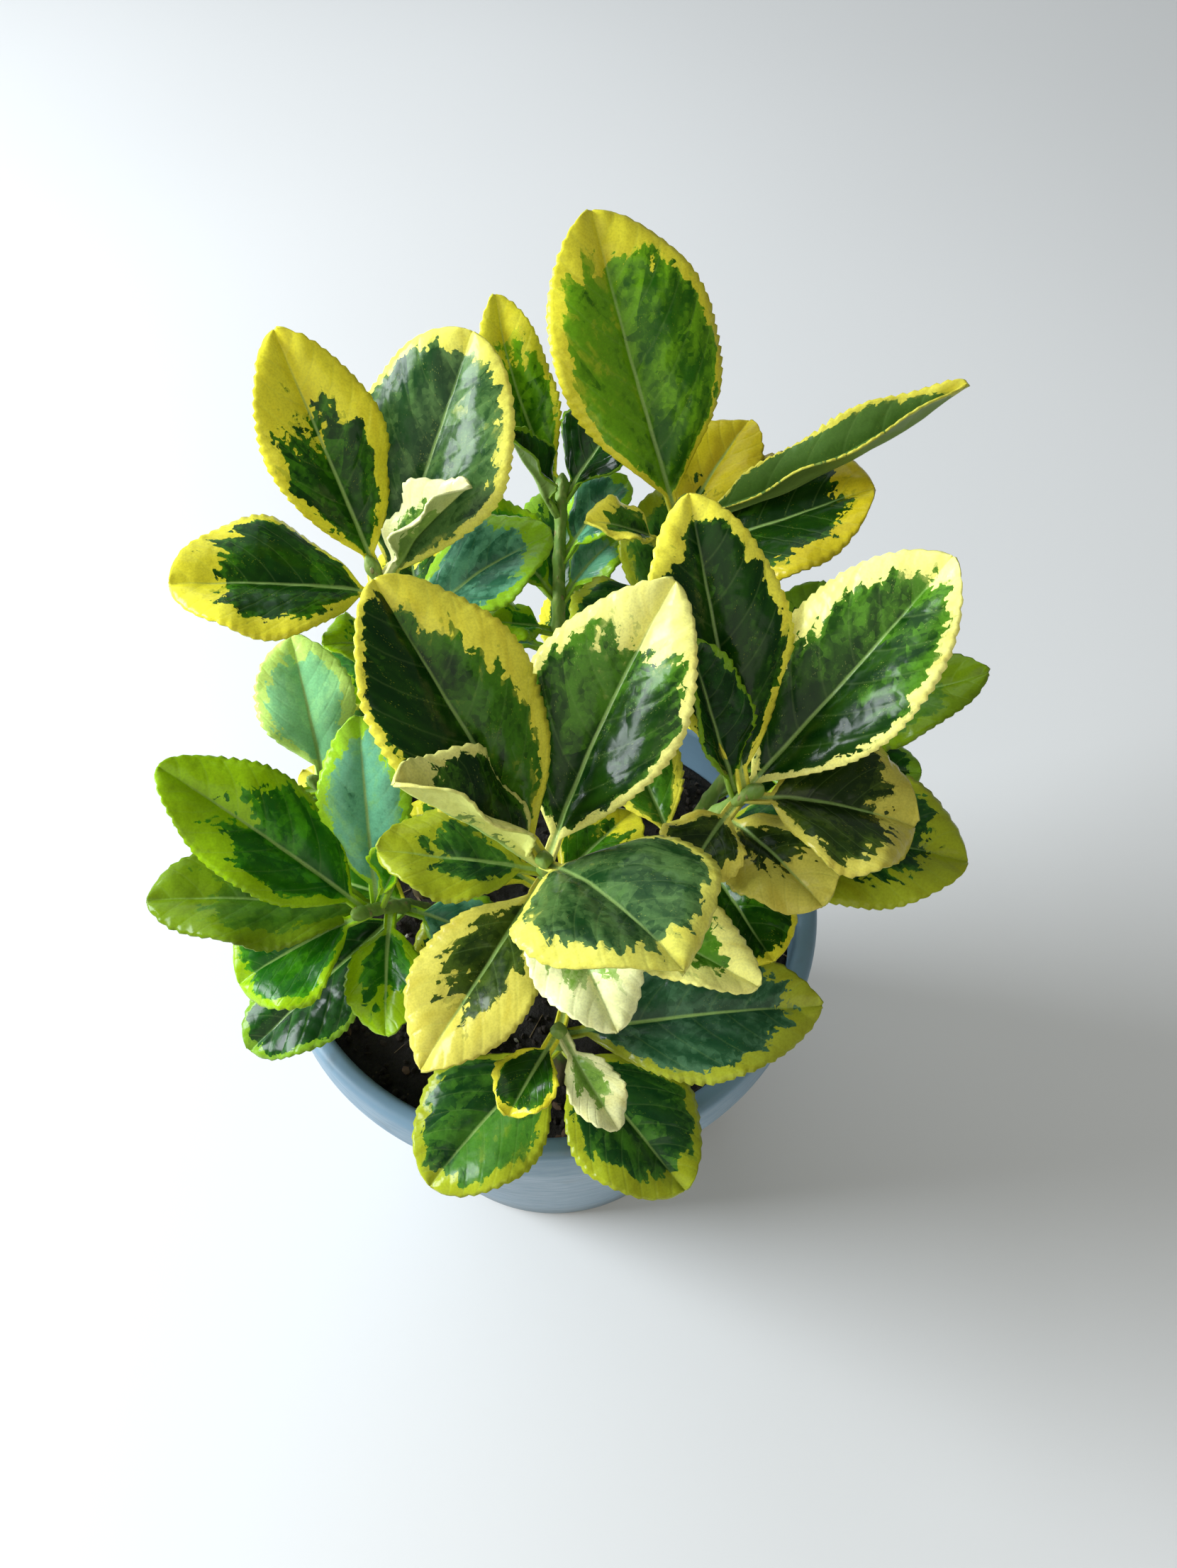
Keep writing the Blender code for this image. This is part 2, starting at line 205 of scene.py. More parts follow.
# the kinds of leaf on this plant: the yellow margin, the dark green and the mid green; some are dulled with
# painted shade or brightened with painted light, as marked below
leafLooks = {
    "cream": {"margin": (238, 230, 76), "dark": (10, 46, 6), "mid": (64, 114, 20)},
    "butter": {"margin": (246, 242, 138), "dark": (10, 46, 6), "mid": (76, 126, 28)},
    "cool": {"margin": (240, 236, 104), "dark": (24, 62, 26), "mid": (84, 120, 62)},
    "amber": {"margin": (198, 182, 34), "dark": (14, 46, 6), "mid": (50, 92, 14)},
    "gold": {"margin": (234, 226, 56), "dark": (12, 52, 5), "mid": (60, 116, 14)},
    "grass": {"margin": (234, 226, 60), "dark": (34, 88, 7), "mid": (110, 166, 22)},
    "pale": {"margin": (250, 252, 186), "dark": (44, 92, 34), "mid": (132, 172, 70)},
    "lime": {"margin": (144, 186, 12), "dark": (20, 84, 8), "mid": (66, 140, 16)},
    # partly a duller yellow-olive leaf, partly painted shade: the margin is darkened for the low leaves that
    # lie in shade
    "oliveShaded": {"margin": (158, 170, 36), "dark": (16, 56, 22), "mid": (66, 116, 34)},
    "tan": {"margin": (208, 198, 84), "dark": (24, 44, 10), "mid": (62, 82, 22)},
    "deep": {"margin": (120, 162, 34), "dark": (10, 42, 9), "mid": (32, 80, 20)},
    # partly the leaf's blue-green colour, partly painted light: brightened and cooled for leaves in shade
    # deep in the bush
    "blue": {"margin": (150, 200, 40), "dark": (44, 100, 70), "mid": (102, 166, 128)},
    # partly a grey-green leaf, partly painted shade: the margin is darkened for a low leaf that lies in shade
    "slateShaded": {"margin": (160, 168, 46), "dark": (28, 68, 40), "mid": (72, 112, 78)},
    # partly the leaf's pale colour, partly painted light: brightened to stand in for light glowing through a
    # leaf that lies in shade
    "mistPaintedLight": {"margin": (204, 240, 124), "dark": (132, 200, 140), "mid": (158, 222, 148)},
    "moss": {"margin": (108, 138, 18), "dark": (52, 94, 22), "mid": (76, 116, 26)},
    "dull": {"margin": (204, 196, 66), "dark": (44, 78, 22), "mid": (74, 108, 36)},
}

# what every blade shares, lengths in mm
bladeShape = {
    "peak": 0.53,            # share of the length where it is widest
    "baseFullness": 0.9,
    "tipFullness": 0.56,
    "stalkLength": 4.0,
    "stalkHalf": 1.0,
    "thickness": 0.45,
    "toothPitch": 1.9,       # from one tooth to the next
    "toothDepth": 0.42,
    "toothPeak": 0.75,       # the tooth's point, as a share of the way to the next tooth
    "toothUneven": 1.2,      # how much the teeth differ in size
    "rowsPerTooth": 4,
    "stalkRows": 3,
    "columns": (0, 0.03, 0.09, 0.2, 0.34, 0.5, 0.66, 0.8, 0.91, 1),
    "veinPairs": 6,
    "veinSlant": 0.65,       # how far a side vein runs forward for each mm outwards
    "veinArch": 0.55,        # how much more it does so by the margin
    "quilt": 0.3,            # bulge between the side veins
    "groove": 0.35,          # sunken midrib
    "rib": 0.9,              # ridge under the midrib, at the stalk
    "camber": 0.1,           # each half arches by this share of its width
    "wave": 0.8,             # margin ripple
    "waves": 2.3,            # ripples along one margin
    "crumple": 0.4,
    "crumpleSize": 6.25,
    "twistSpread": 6,        # degrees either way, by lot
    "swaySpread": 0.02,      # sideways bend by lot, as a share of the length
}


def leaf(down, turn, rise, length, width, fold, droop, look=None, left=None, right=None, tip=None, **more):
    # down is mm below the stem's tip; turn, rise, fold and droop are degrees; left and right are the yellow
    # margin in mm at the base, the middle and the tip; tip is the yellow at the end, in mm
    kind = {
        "down": down, "turn": turn, "rise": rise, "length": length, "width": width, "fold": fold,
        "droop": droop, "look": look, "left": left, "right": right, "tip": tip,
        "peak": bladeShape["peak"], "blunt": bladeShape["tipFullness"], "wave": bladeShape["wave"],
        "sway": 0.0,         # sideways bend as a share of the length
        "skew": 0.0,         # makes the left half wider and the right half narrower
        "twist": 0.0,        # degrees from the stalk to the tip
        "quiet": 0.0,        # 1 for a blade that shows its dull, even side
        "patch": 0.0,        # above 0 brings mid green in, below 0 darkens
        "lean": 0.0,         # the same, for the right half only, with the left half the other way
        "ahead": 0.0,        # the same, more towards the tip and less at the base
    }
    kind.update(more)
    return kind


stems = {
    "stem_front_centre": {
        "foot": (1, -12), "tip": (2, -30, 62),
        "leaves": [
            leaf(1, 132, 43, 51, 31, 12, 12, "cream", (1.2, 2, 1.6), (1.5, 5, 10), 2.5, patch=-0.1,
                 lean=0.45),
            leaf(1, 308, 21, 35, 37, 4, 35, "cool", (1, 2, 4), (1.2, 4, 5), 6, patch=0.1, blunt=0.85,
                 twist=-14),
            leaf(4, 56, 42, 49, 30, 14, 8, "butter", (1.6, 2, 4), (1.6, 1.6, 3), 12, patch=-0.1, lean=-0.2,
                 ahead=0.6, blunt=0.68),
            leaf(4, 194, 55, 35, 22, 42, 10, "butter", (5, 11, 11), (0.8, 1.3, 4), 9, patch=-0.2, wave=1.4,
                 twist=20),
            leaf(14, 292, -2, 30, 20, 8, 20, "pale", (2, 4, 6), (2, 4, 5), 9, patch=0.7, wave=1.2),
            leaf(22, 238, -12, 38, 24, 8, 15, "tan", (2, 6, 8), (2, 5, 8), 14, patch=0.1, blunt=0.7),
            leaf(17, 182, 16, 27, 20, 8, 15, "oliveShaded", (2, 4, 6), (2, 4, 6), 10),
            leaf(24, 326, 6, 42, 20, 20, 25, "butter", (1.5, 3, 4), (1.5, 4, 5), 8, patch=0.3),
            leaf(36, 150, 5, 30, 22, 8, 15),
            leaf(36, 48, -2, 22, 18, 8, 15),
            leaf(54, 200, 0, 26, 20, 8, 15),
            leaf(50, 336, 8, 26, 20, 8, 15),
        ],
    },
    "stem_right": {
        "foot": (22, -4), "tip": (38, -15, 60),
        "leaves": [
            leaf(1, 107, 45, 50, 27, 10, 12, "cream", (1.2, 3, 5), (1.2, 2.2, 3), 4, patch=-0.3, blunt=0.66),
            leaf(1, 350, -6, 27, 33, 12, 30, "tan", (1.5, 3, 6), (1.5, 3, 4), 7, patch=-0.1, wave=1.2),
            leaf(4, 35, 42, 52, 30, 14, 8, "butter", (1.4, 5, 5), (1.4, 1.6, 3), 5, patch=-0.25, lean=-0.1,
                 ahead=0.6, blunt=0.6),
            leaf(4, 130, 62, 30, 15, 35, 10, "deep", (0.7, 1, 1.4), (0.7, 1, 1.4), 2),
            leaf(11, 306, 6, 24, 22, 8, 20, "tan", (2, 6, 8), (2, 6, 8), 10, wave=1.2),
            leaf(20, 345, 8, 46, 34, 8, 15, "oliveShaded", (1.5, 2.5, 4), (4, 6.5, 6), 8, patch=-0.3),
            leaf(26, 298, -2, 27, 24, 8, 15, "gold", (1, 1.5, 2), (1, 1.5, 2), 2, patch=-0.2),
            leaf(34, 112, 12, 28, 18, 8, 15),
            leaf(34, 350, -12, 26, 20, 8, 15),
            leaf(50, 350, 8, 28, 20, 8, 15),
            leaf(4, 238, -4, 17, 16, 12, 20, "tan", (1.2, 2, 3), (1.2, 2, 3), 4, patch=-0.2, wave=1.1),
        ],
    },
    "stem_back_right": {
        "foot": (14, 18), "tip": (27, 40, 75),
        "leaves": [
            leaf(1, 115, 47, 54, 34, 8, 8, "grass", (1.2, 2.6, 3.5), (1, 1.6, 4), 10, patch=0.25, lean=-0.3,
                 skew=-0.06),
            leaf(9, 1, 25, 38, 35, 6, 6, "amber", (1, 1.6, 3), (1.5, 4, 5), 6, patch=-0.3, blunt=0.5),
            leaf(1, 5, 31, 54, 16, 56, -24, "dull", (0.5, 1, 2), (0.2, 0.3, 1), 3, patch=0.1, quiet=1),
            leaf(6, 194, 30, 16, 12, 24, 20, "cream", (1, 2, 3), (1, 2, 3), 5, patch=0.3),
            leaf(6, 54, 24, 26, 18, 8, 20, "amber", (4, 8, 9), (4, 8, 9), 20),
            leaf(14, 225, 10, 20, 14, 8, 20, "oliveShaded", (1, 2, 3), (1, 2, 3), 4),
            leaf(26, 74, 24, 30, 20, 8, 20, twist=-16),
            leaf(36, 60, 6, 32, 22, 8, 20),
            leaf(36, 330, 6, 26, 18, 8, 20),
            leaf(54, 84, 8, 30, 22, 8, 20),
            leaf(54, 236, 12, 24, 18, 8, 20),
        ],
    },
    "stem_back_left": {
        "foot": (-16, 16), "tip": (-31, 29, 70),
        "leaves": [
            leaf(1, 124, 54, 44, 24, 14, 8, "gold", (1.2, 2.5, 7), (1.5, 4, 9), 17, patch=-0.1, blunt=0.62),
            leaf(1, 8, 48, 25, 14, 50, 20, "pale", (1.5, 4, 6), (1, 4, 6), 9, wave=1.4),
            leaf(4, 57, 49, 47, 34, 4, 8, "cool", (0.8, 1.2, 2), (1, 2.6, 3), 4.5, patch=0.1, lean=0.2,
                 blunt=0.5),
            leaf(4, 193, 16, 36, 32, 8, 10, "gold", (1.5, 4, 6), (1.2, 2, 4), 9, patch=-0.2),
            leaf(13, 22, 24, 31, 24, 10, 20, "blue", (1.5, 3, 4), (1.5, 2.4, 3), 6, patch=0.1),
            leaf(18, 206, 28, 16, 14, 8, 20, "lime", (1.5, 3, 4), (1.5, 3, 4), 7),
            leaf(26, 100, 15, 30, 20, 8, 20),
            leaf(38, 140, 5, 30, 22, 8, 20),
            leaf(54, 100, 8, 28, 22, 8, 20),
            leaf(54, 268, 12, 24, 18, 8, 20),
        ],
    },
    "stem_back_centre": {
        "foot": (2, 30), "tip": (4, 57, 65),
        "leaves": [
            leaf(1, 119, 51, 38, 16, 20, 0, "grass", (2, 4, 6), (1, 1.6, 3), 12, patch=0.1, sway=0.05),
            leaf(1, 38, 40, 20, 20, 20, 10, "deep", (0.5, 0.7, 1), (0.5, 0.7, 1), 1),
            leaf(4, 180, 64, 20, 12, 45, 10, "deep", (0.4, 0.6, 0.8), (0.4, 0.6, 0.8), 1),
            leaf(13, 35, 35, 18, 16, 10, 20, "blue", (1, 1.5, 2), (1, 1.5, 2), 2),
            leaf(22, 34, 32, 16, 14, 10, 20, "blue", (1, 2.4, 3), (1, 2.4, 3), 4, patch=0.3),
            leaf(22, 150, 35, 24, 18, 20, 20, "lime", (1, 2, 3), (1, 2, 3), 4, patch=0.4),
            leaf(34, 170, 10, 28, 18, 10, 20, "blue", (1, 2, 2), (1, 2, 2), 3),
            leaf(28, 88, 20, 30, 22, 10, 20),
            leaf(46, 70, 4, 32, 24, 10, 20),
            leaf(29, 196, 24, 13, 12, 10, 20, "lime", (1, 3, 4), (1, 3, 4), 6),
        ],
    },
    "stem_left": {
        "foot": (-22, -8), "tip": (-33, -25, 35),
        "leaves": [
            leaf(1, 157, 34, 43, 24, 10, 10, "lime", (1.5, 3.5, 7), (1, 2.4, 6), 17, patch=-0.2, peak=0.47),
            leaf(1, 207, -14, 24, 26, 8, 15, "lime", (1.2, 2, 3), (1.2, 2, 3), 3, patch=-0.1),
            leaf(4, 94, 48, 34, 18, 10, 10, "blue", (1, 2, 3), (1, 2, 3), 4, patch=0.5),
            leaf(4, 40, 55, 18, 12, 50, 10, "lime", (0.8, 1.2, 1.5), (0.8, 1.2, 1.5), 2, patch=0.4),
            leaf(9, 189, 18, 42, 24, 8, 25, "moss", (2, 4, 5), (2, 4, 5), 12, patch=0.3, wave=1.3),
            leaf(9, 272, -10, 22, 16, 8, 20, "lime", (1.5, 3, 4), (1.5, 3, 4), 7),
            leaf(16, 221, -17, 38, 24, 8, 20, "deep", (0.6, 1.2, 1.6), (0.6, 1.2, 1.6), 2),
            leaf(14, 340, -10, 18, 16, 8, 20, "blue", (0.8, 1, 1.4), (0.8, 1, 1.4), 2),
            leaf(26, 160, 0, 28, 20, 8, 20),
        ],
    },
    "stem_front_low": {
        "foot": (4, -39), "tip": (4, -47, 30),
        "leaves": [
            leaf(20, 228, -7, 33, 27, 8, 15, "oliveShaded", (1.5, 3, 3), (1.5, 2, 3), 3.5, patch=0.2, lean=-0.2),
            leaf(20, 310, -7, 33, 27, 8, 15, "oliveShaded", (1.5, 2.6, 3), (1.5, 3.4, 4), 5, patch=-0.1),
            leaf(1, 240, -8, 14, 13, 20, 20, "gold", (0.8, 1.2, 1.6), (0.8, 1.4, 1.8), 2, patch=-0.2),
            leaf(1, 302, -12, 17, 11, 20, 20, "pale", (0.8, 2.5, 3), (0.8, 3, 3.5), 6, patch=0.6),
            leaf(10, 2, 10, 46, 28, 8, 15, "slateShaded", (0.8, 1.4, 3), (1, 2.6, 4), 7, patch=-0.1, blunt=0.7),
            leaf(8, 78, 10, 18, 14, 8, 15, "gold", (1.5, 4, 5), (1.5, 4, 5), 7),
        ],
    },
    "stem_right_back": {
        "foot": (30, 10), "tip": (46, 12, 42),
        "leaves": [
            leaf(1, 0, 26, 41, 24, 8, 15, "moss", (1.5, 3, 4), (1.5, 2.5, 4), 9, patch=0.2, blunt=0.75),
            leaf(1, 66, 40, 29, 18, 10, 15),
            leaf(12, 350, 10, 34, 22, 8, 15, "deep", (0.8, 1.5, 2), (0.8, 1.5, 2), 3),
            leaf(12, 90, 12, 30, 22, 8, 15),
            leaf(24, 30, 0, 32, 24, 8, 15),
        ],
    },
    "stem_left_back": {
        "foot": (-30, 6), "tip": (-44, 2, 38),
        "leaves": [
            leaf(1, 105, 42, 27, 20, 8, 15, "mistPaintedLight", (1.5, 3, 3.5), (1.5, 2.5, 3), 4),
            leaf(1, 200, 4, 26, 16, 10, 15, "lime", (1.5, 3, 4), (1.5, 3, 4), 5),
            leaf(12, 34, 24, 18, 16, 8, 15),
            leaf(22, 100, 5, 30, 22, 8, 15),
            leaf(32, 140, 6, 26, 20, 8, 15),
        ],
    },
}

# the wood, lengths in mm
stemShape = {
    "soilTop": 91, "rimTop": 105, "knee": 0.55, "bury": 6,
    "footRadius": 2.1, "tipRadius": 1.1, "sides": 14, "rings": 90,
    "nodeSwell": 0.24, "nodeReach": 1.3,   # thicker where leaves grow on
    "wander": 0.5, "wanderSize": 15,       # how far a stem strays from a fair curve, and over what length
    "angles": 0.07,                        # young stems are faintly four-sided
    "budLength": 4.5, "budRadius": 1.5, "budRings": 7,
}

numberLayers = ("rib", "rank", "green", "along", "under", "patch", "quiet")
colourLayers = ("dark", "mid", "margin")


def lookOf(kind, number):
    # the leaves that the photograph hides get their colours by lot, and every leaf its own slight bend
    lot = random.Random(number)
    kind["twist"] += lot.uniform(-bladeShape["twistSpread"], bladeShape["twistSpread"])
    kind["sway"] += lot.uniform(-bladeShape["swaySpread"], bladeShape["swaySpread"])
    if kind["look"]:
        return kind
    kind["look"] = lot.choice(["gold", "gold", "cream", "lime", "oliveShaded", "grass", "deep"])
    for side in ("left", "right"):
        kind[side] = (lot.uniform(0.8, 1.6), lot.uniform(1.4, 3.6), lot.uniform(2, 5))
    kind["tip"] = lot.uniform(3, 8)
    kind["patch"] = lot.uniform(-0.4, 0.5)
    return kind


def halfWidth(kind, along):
    along = min(1.0, max(0.0, along))
    exponent = math.log(0.5) / math.log(kind["peak"])
    fullness = bladeShape["baseFullness"] + (kind["blunt"] - bladeShape["baseFullness"]) * along
    return kind["width"] / 2 * math.sin(math.pi * along ** exponent) ** fullness


def marginAt(kind, side, along):
    base, middle, tip = kind[side]
    if along < 0.5:
        return base + (middle - base) * along / 0.5
    return middle + (tip - middle) * (along - 0.5) / 0.4


def teethOn(kind):
    return max(5, round(kind["length"] / bladeShape["toothPitch"]))


def toothAt(kind, along, seed):
    # a tooth that points forward: a slow rise, then a quick fall, and no two of one size
    peak = bladeShape["toothPeak"]
    tooth, share = divmod(along * teethOn(kind) + 1e-6, 1)
    height = (share / peak) ** 0.8 if share < peak else (1 - share) / (1 - peak)
    grown = min(1, max(0, (along - 0.06) / 0.25)) * min(1, (1 - along) / 0.04 + 0.2)
    size = 1 + bladeShape["toothUneven"] * noise.noise(Vector((tooth * 0.77, seed * 1.93, 0)))
    return bladeShape["toothDepth"] * size * (height - 0.6) * grown


def bladePoint(kind, seed, along, across):
    # a point of the upper face in the leaf's own frame, in mm, and what its colour depends on
    bend = math.radians(kind["droop"] or 0.01)
    radius = kind["length"] / bend
    side = 1 if across > 0 else -1
    reach = abs(across)
    if along < 0:
        slope = bend / 2
        x, z = along * kind["length"] * math.cos(slope), along * kind["length"] * math.sin(slope)
        half = bladeShape["stalkHalf"]
    else:
        slope = bend * (0.5 - along)
        x = radius * (math.sin(bend / 2) - math.sin(slope))
        z = radius * (math.cos(slope) - math.cos(bend / 2))
        half = max(halfWidth(kind, along) * (1 + side * kind["skew"]), bladeShape["stalkHalf"] * (1 - along))
    grown = min(1, max(0, along / 0.12))
    out = reach * half
    if along > 0:
        out += toothAt(kind, along, seed + 0.31 * side) * max(0, (reach - 0.6) / 0.4) ** 2
    pitch = kind["length"] / (bladeShape["veinPairs"] + 1)
    forward = along * kind["length"] - out * (bladeShape["veinSlant"] + bladeShape["veinArch"] * reach)
    rank = forward / pitch + 0.25 * side
    bell = math.sin(math.pi * min(1, reach * 1.05)) ** 0.7 if 0 < reach < 0.95 else 0
    fold = math.radians(kind["fold"])
    height = (math.hypot(out, 0.8) - 0.8) * math.sin(fold)
    height += bladeShape["camber"] * half * 4 * reach * (1 - reach) * grown
    height += bladeShape["quilt"] * min(1, kind["width"] / 30) * abs(math.sin(math.pi * rank)) * bell * grown
    height -= bladeShape["groove"] * math.exp(-(out / 0.8) ** 2) * (1 - 0.7 * max(0, along))
    ripple = math.sin(2 * math.pi * (along * bladeShape["waves"] + seed * 0.37 + side * 0.21))
    height += kind["wave"] * ripple * reach ** 2 * grown
    size = bladeShape["crumpleSize"]
    uneven = noise.noise(Vector((x / size, across * half / size, seed * 3.7)))
    height += bladeShape["crumple"] * grown * uneven
    y = side * out * math.cos(fold)
    turn = math.radians(kind["twist"]) * along
    y, height = y * math.cos(turn) - height * math.sin(turn), y * math.sin(turn) + height * math.cos(turn)
    y += kind["sway"] * kind["length"] * 4 * along * (1 - along)
    place = Vector((x - height * math.sin(slope), y, z + height * math.cos(slope)))
    margin = marginAt(kind, "left" if side > 0 else "right", max(0, along))
    toTip = (1 - along) * kind["length"] - kind["tip"]
    green = min((half - out - margin) / (0.4 + 0.3 * margin), toTip / (0.6 + 0.3 * kind["tip"]))
    patch = kind["patch"] - side * kind["lean"] * min(1, reach * 12) + kind["ahead"] * (2 * along - 1)
    return place, {
        "rib": out, "rank": rank, "green": max(-3, min(3, green)), "along": along, "patch": patch,
        "vein": (forward / 10, side * out / 10),
    }


def stemPoint(shoot, share):
    foot = Vector((*shoot["foot"], stemShape["soilTop"]))
    tip = Vector((*shoot["tip"][:2], stemShape["rimTop"] + shoot["tip"][2]))
    knee = Vector((foot.x, foot.y, foot.z + stemShape["knee"] * (tip.z - foot.z)))
    rest = 1 - share
    return foot * rest * rest + knee * 2 * share * rest + tip * share * share


def stemLength(shoot):
    points = [stemPoint(shoot, i / 20) for i in range(21)]
    return sum((b - a).length for a, b in zip(points, points[1:]))


def leafPlace(shoot, kind):
    turn = Matrix.Rotation(math.radians(kind["turn"]), 4, "Z")
    turn = turn @ Matrix.Rotation(-math.radians(kind["rise"]), 4, "Y")
    node = stemPoint(shoot, 1 - kind["down"] / stemLength(shoot))
    bend = math.radians(kind["droop"])
    reach = Vector((math.cos(bend / 2), 0, math.sin(bend / 2))) * bladeShape["stalkLength"]
    return Matrix.Scale(mm, 4) @ Matrix.Translation(node + turn.to_3x3() @ reach) @ turn


def addBlade(piece, shoot, kind, number):
    # one leaf: a grid bent into the upper face, then given its thickness and the ridge below its midrib
    kind = lookOf(kind, number)
    lot = random.Random(number + 500)
    stalkRows = bladeShape["stalkRows"]
    rows = teethOn(kind) * bladeShape["rowsPerTooth"] + stalkRows
    shares = [-c for c in reversed(bladeShape["columns"][1:])] + list(bladeShape["columns"])
    columns = len(shares) - 1
    bm = bmesh.new()
    bmesh.ops.create_grid(bm, x_segments=columns, y_segments=rows, size=1)
    vein = bm.loops.layers.uv.new("vein")
    numbers = {name: bm.verts.layers.float.new(name) for name in numberLayers}
    colours = {name: bm.verts.layers.float_color.new(name) for name in colourLayers}
    veinPlace = {}
    shift = Vector((lot.uniform(0, 40), lot.uniform(0, 40)))
    tints = {name: paint(*leafLooks[kind["look"]][name]) for name in colourLayers}
    lift = lot.uniform(0.9, 1.1)
    for vertex in bm.verts:
        row = round((vertex.co.y + 1) / 2 * rows)
        across = shares[round((vertex.co.x + 1) / 2 * columns)]
        if row < stalkRows:
            along = -(bladeShape["stalkLength"] / kind["length"]) * (1 - row / stalkRows)
        else:
            along = min(0.998, (row - stalkRows) / (rows - stalkRows))
        place, facts = bladePoint(kind, number, along, across)
        vertex.co = place
        for name in ("rib", "rank", "green", "along", "patch"):
            vertex[numbers[name]] = facts[name]
        vertex[numbers["quiet"]] = kind["quiet"]
        for name, tint in tints.items():
            vertex[colours[name]] = (tint[0] * lift, tint[1] * lift, tint[2] * lift, 1)
        veinPlace[vertex] = Vector(facts["vein"]) + shift
    for face in bm.faces:
        for corner in face.loops:
            corner[vein].uv = veinPlace[corner.vert]
    upper = set(bm.verts)
    bmesh.ops.recalc_face_normals(bm, faces=bm.faces[:])
    if sum(face.normal.z for face in bm.faces) < 0:
        bmesh.ops.reverse_faces(bm, faces=bm.faces[:])
    bmesh.ops.solidify(bm, geom=bm.faces[:], thickness=bladeShape["thickness"])
    bm.normal_update()
    for vertex in bm.verts:
        if vertex in upper:
            continue
        vertex[numbers["under"]] = 1
        out, along = vertex[numbers["rib"]], vertex[numbers["along"]]
        ridge = bladeShape["rib"] * (1 - 0.9 * max(0, along)) * math.exp(-(out / 0.75) ** 2)
        vertex.co += vertex.normal * ridge
    bmesh.ops.transform(bm, matrix=leafPlace(shoot, kind), verts=bm.verts)
    for face in bm.faces:
        face.smooth = True
    joinInto(piece, bm)


def woodRings(shoot):
    # centre, heading and radius of each ring up the stem, swollen at the leaf nodes, then of the bud's
    shape = stemShape
    length = stemLength(shoot)
    nodes = [length - kind["down"] for kind in shoot["leaves"]]
    rings = []
    for i in range(shape["rings"] + 1):
        share = i / shape["rings"]
        centre = stemPoint(shoot, share)
        ahead = (stemPoint(shoot, min(1, share + 0.01)) - stemPoint(shoot, max(0, share - 0.01))).normalized()
        radius = shape["footRadius"] + (shape["tipRadius"] - shape["footRadius"]) * share
        nearest = min(abs(length * share - node) for node in nodes)
        radius *= 1 + shape["nodeSwell"] * math.exp(-(nearest / shape["nodeReach"]) ** 2)
        stray = centre / shape["wanderSize"]
        centre += Vector((noise.noise(stray), noise.noise(stray + Vector((5, 0, 0))), 0)) * shape["wander"]
        if i == 0:
            rings.append((centre - ahead * shape["bury"], ahead, radius))
        rings.append((centre, ahead, radius))
    tip, ahead = rings[-1][0], rings[-1][1]
    for i in range(1, shape["budRings"] + 1):
        share = i / shape["budRings"]
        swell = math.sin(math.pi * min(1, 0.22 + share * 0.76)) ** 0.8
        rings.append((tip + ahead * shape["budLength"] * share, ahead, shape["budRadius"] * swell + 0.05))
    return rings


def addWood(piece, shoot):
    bm = bmesh.new()
    last = None
    for centre, ahead, radius in woodRings(shoot):
        ring = bmesh.ops.create_circle(bm, segments=stemShape["sides"], radius=radius)["verts"]
        for vertex in ring:
            vertex.co *= 1 + stemShape["angles"] * math.cos(4 * math.atan2(vertex.co.y, vertex.co.x))
        turn = ahead.to_track_quat("Z", "Y").to_matrix().to_4x4()
        bmesh.ops.transform(bm, matrix=Matrix.Translation(centre) @ turn, verts=ring)
        edges = list({edge for vertex in ring for edge in vertex.link_edges})
        if last:
            bmesh.ops.bridge_loops(bm, edges=last + edges)
        last = edges
    bmesh.ops.holes_fill(bm, edges=[edge for edge in bm.edges if edge.is_boundary], sides=0)
    bmesh.ops.recalc_face_normals(bm, faces=bm.faces[:])
    bmesh.ops.scale(bm, vec=(mm, mm, mm), verts=bm.verts)
    for face in bm.faces:
        face.smooth = True
        face.material_index = 1
    joinInto(piece, bm)


# sizes are patterns per cm of leaf, or per metre for blocks, crumbs, grain, puckers and net
# reaches are how far a pattern moves the edge of the green, or the tone inside it
leafPattern = {
    "lobeSize": 2.0, "lobeReach": 2.6,
    "biteSize": 5.0, "biteReach": 1.9,
    "blockSize": 760, "blockReach": 1.1,
    "crumbSize": 1700, "crumbReach": 0.45,
    "across": 1.15,          # below 1 draws the pattern out along the side veins
    "sectorSize": 1.5, "sectorReach": 0.4, "grainSize": 1000, "grainReach": 0.26,
    "patchReach": 0.55,      # how much a leaf's own patch value counts
    "midFrom": 0.56, "midTo": 1.0, "quietMid": 0.75,
    "lightFrom": 1.05, "lightTo": 1.35, "lightShare": 0.3,
    "tingeSize": 4.0, "tingeReach": 1.8, "tingeShare": 0.6, "fleckSize": 24.0, "fleckShare": 0.5,
    "ribHalf": 0.52, "ribTaper": 0.36, "ribSoft": (-0.26, 0.12),     # the pale midrib's half width in mm
    "ribShare": (0.78, 0.1),                                         # at the stalk and at the tip
    "veinHalf": 0.06, "veinShare": 0.08, "veinSunk": 0.2,
    "ribColour": (150, 182, 100), "aged": (232, 224, 186), "agedShare": 0.7,
    "pore": (16, 34, 8), "poreShare": 0.14, "belowTint": (150, 176, 90), "belowShare": 0.42,
    "gloss": (0.17, 0.28), "dull": 0.28, "specular": 0.17,
    "puckerSize": 300, "netSize": 330, "reliefDepth": 0.0003, "reliefStrength": 0.45,
}


